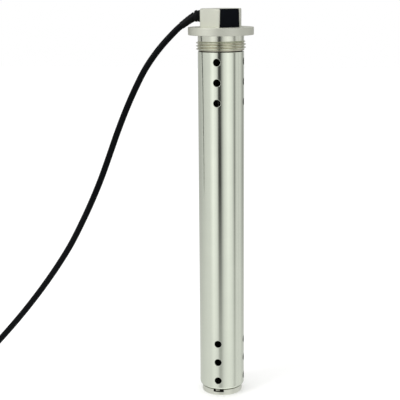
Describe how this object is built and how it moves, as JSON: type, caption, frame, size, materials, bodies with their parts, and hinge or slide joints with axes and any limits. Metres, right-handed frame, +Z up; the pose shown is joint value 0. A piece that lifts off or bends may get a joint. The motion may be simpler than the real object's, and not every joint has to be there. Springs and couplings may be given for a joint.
{
  "type": "sous vide circulator",
  "caption": "Screw-in sous vide circulator: perforated steel guard tube with heater and pump inside, threaded hexagon head plug, black lead with plug.",
  "frame": {"origin": "centre of the foot cap's underside, on the guard tube's axis", "axes": "+Z up along the tube towards the hexagon head; the four columns of water holes face +X, +Y, -X and -Y; the lead leaves towards -X"},
  "size_m": [0.4216, 0.0904, 0.3832],
  "materials": {
    "guard_steel": "fine lengthwise brushed stainless steel",
    "cap_steel": "turned stainless steel",
    "head_steel": "machined stainless steel, satin",
    "inner_steel": "plain stainless steel",
    "heater_sheath": "heat-tinted stainless sheath",
    "blade_metal": "plated brass",
    "terminal_brass": "plain brass",
    "bearing_bronze": "sintered bronze",
    "copper_winding": "enamelled copper wire",
    "laminated_iron": "stacked iron sheets",
    "ferrite": "sintered magnet",
    "cover_plastic": "moulded black plastic",
    "plug_plastic": "moulded black plastic",
    "impeller_plastic": "moulded dark plastic",
    "ceramic": "white steatite",
    "seal_rubber": "black rubber",
    "sleeve_rubber": "soft black rubber",
    "tie_rubber": "soft black band",
    "cord_jacket": "smooth black cord jacket",
    "wire_brown": "brown insulation",
    "wire_blue": "blue insulation",
    "wire_green": "green insulation"
  },
  "bodies": {
    "root": {"bearing_lower": "bearing_bronze", "bearing_upper": "bearing_bronze", "coil_tie": "tie_rubber", "cord_clamp": "inner_steel", "cord_coil": "cord_jacket", "cord_sleeve": "sleeve_rubber", "cord_tail": "cord_jacket", "cover_gasket": "seal_rubber", "cutout_pocket": "inner_steel", "earth_wire": "wire_green", "element_plate": "head_steel", "element_spacer_1": "inner_steel", "element_spacer_2": "inner_steel", "guard_tube": "guard_steel", "head_plug": "head_steel", "heater_hairpin_front": "heater_sheath", "heater_hairpin_rear": "heater_sheath", "heater_pin_1": "terminal_brass", "heater_pin_2": "terminal_brass", "heater_pin_3": "terminal_brass", "heater_pin_4": "terminal_brass", "live_wire": "wire_brown", "mains_cord": "cord_jacket", "motor_can": "inner_steel", "motor_lid": "inner_steel", "motor_spider_lower": "inner_steel", "motor_spider_upper": "inner_steel", "neutral_wire": "wire_blue", "plug_blade_live": "blade_metal", "plug_blade_neutral": "blade_metal", "plug_body": "plug_plastic", "plug_earth_pin": "blade_metal", "plug_strain_relief": "sleeve_rubber", "probe_pocket": "inner_steel", "shaft_seal": "seal_rubber", "stator_core": "laminated_iron", "temperature_sensor": "terminal_brass", "terminal_block": "ceramic", "terminal_cover": "cover_plastic", "terminal_screw_1": "terminal_brass", "terminal_screw_2": "terminal_brass", "terminal_screw_3": "terminal_brass", "thermal_cutout": "ceramic", "winding_lower": "copper_winding", "winding_upper": "copper_winding", "wire_conduit": "inner_steel"},
    "pump_rotor": {"motor_shaft": "inner_steel", "rotor_magnet": "ferrite", "impeller": "impeller_plastic", "impeller_nut": "terminal_brass"},
    "foot": {"foot_cap": "cap_steel", "foot_seal": "seal_rubber"}
  },
  "joints": [
    {"name": "impeller_spin", "type": "hinge", "parent": "root", "child": "pump_rotor", "pos_m": [0, 0, 0.0695], "axis": [0, 0, 1], "continuous": true},
    {"name": "foot_cap_turn", "type": "hinge", "parent": "root", "child": "foot", "pos_m": [0, 0, 0.0031], "axis": [0, 0, 1], "range_deg": [-11.5, 5.5]}
  ]
}
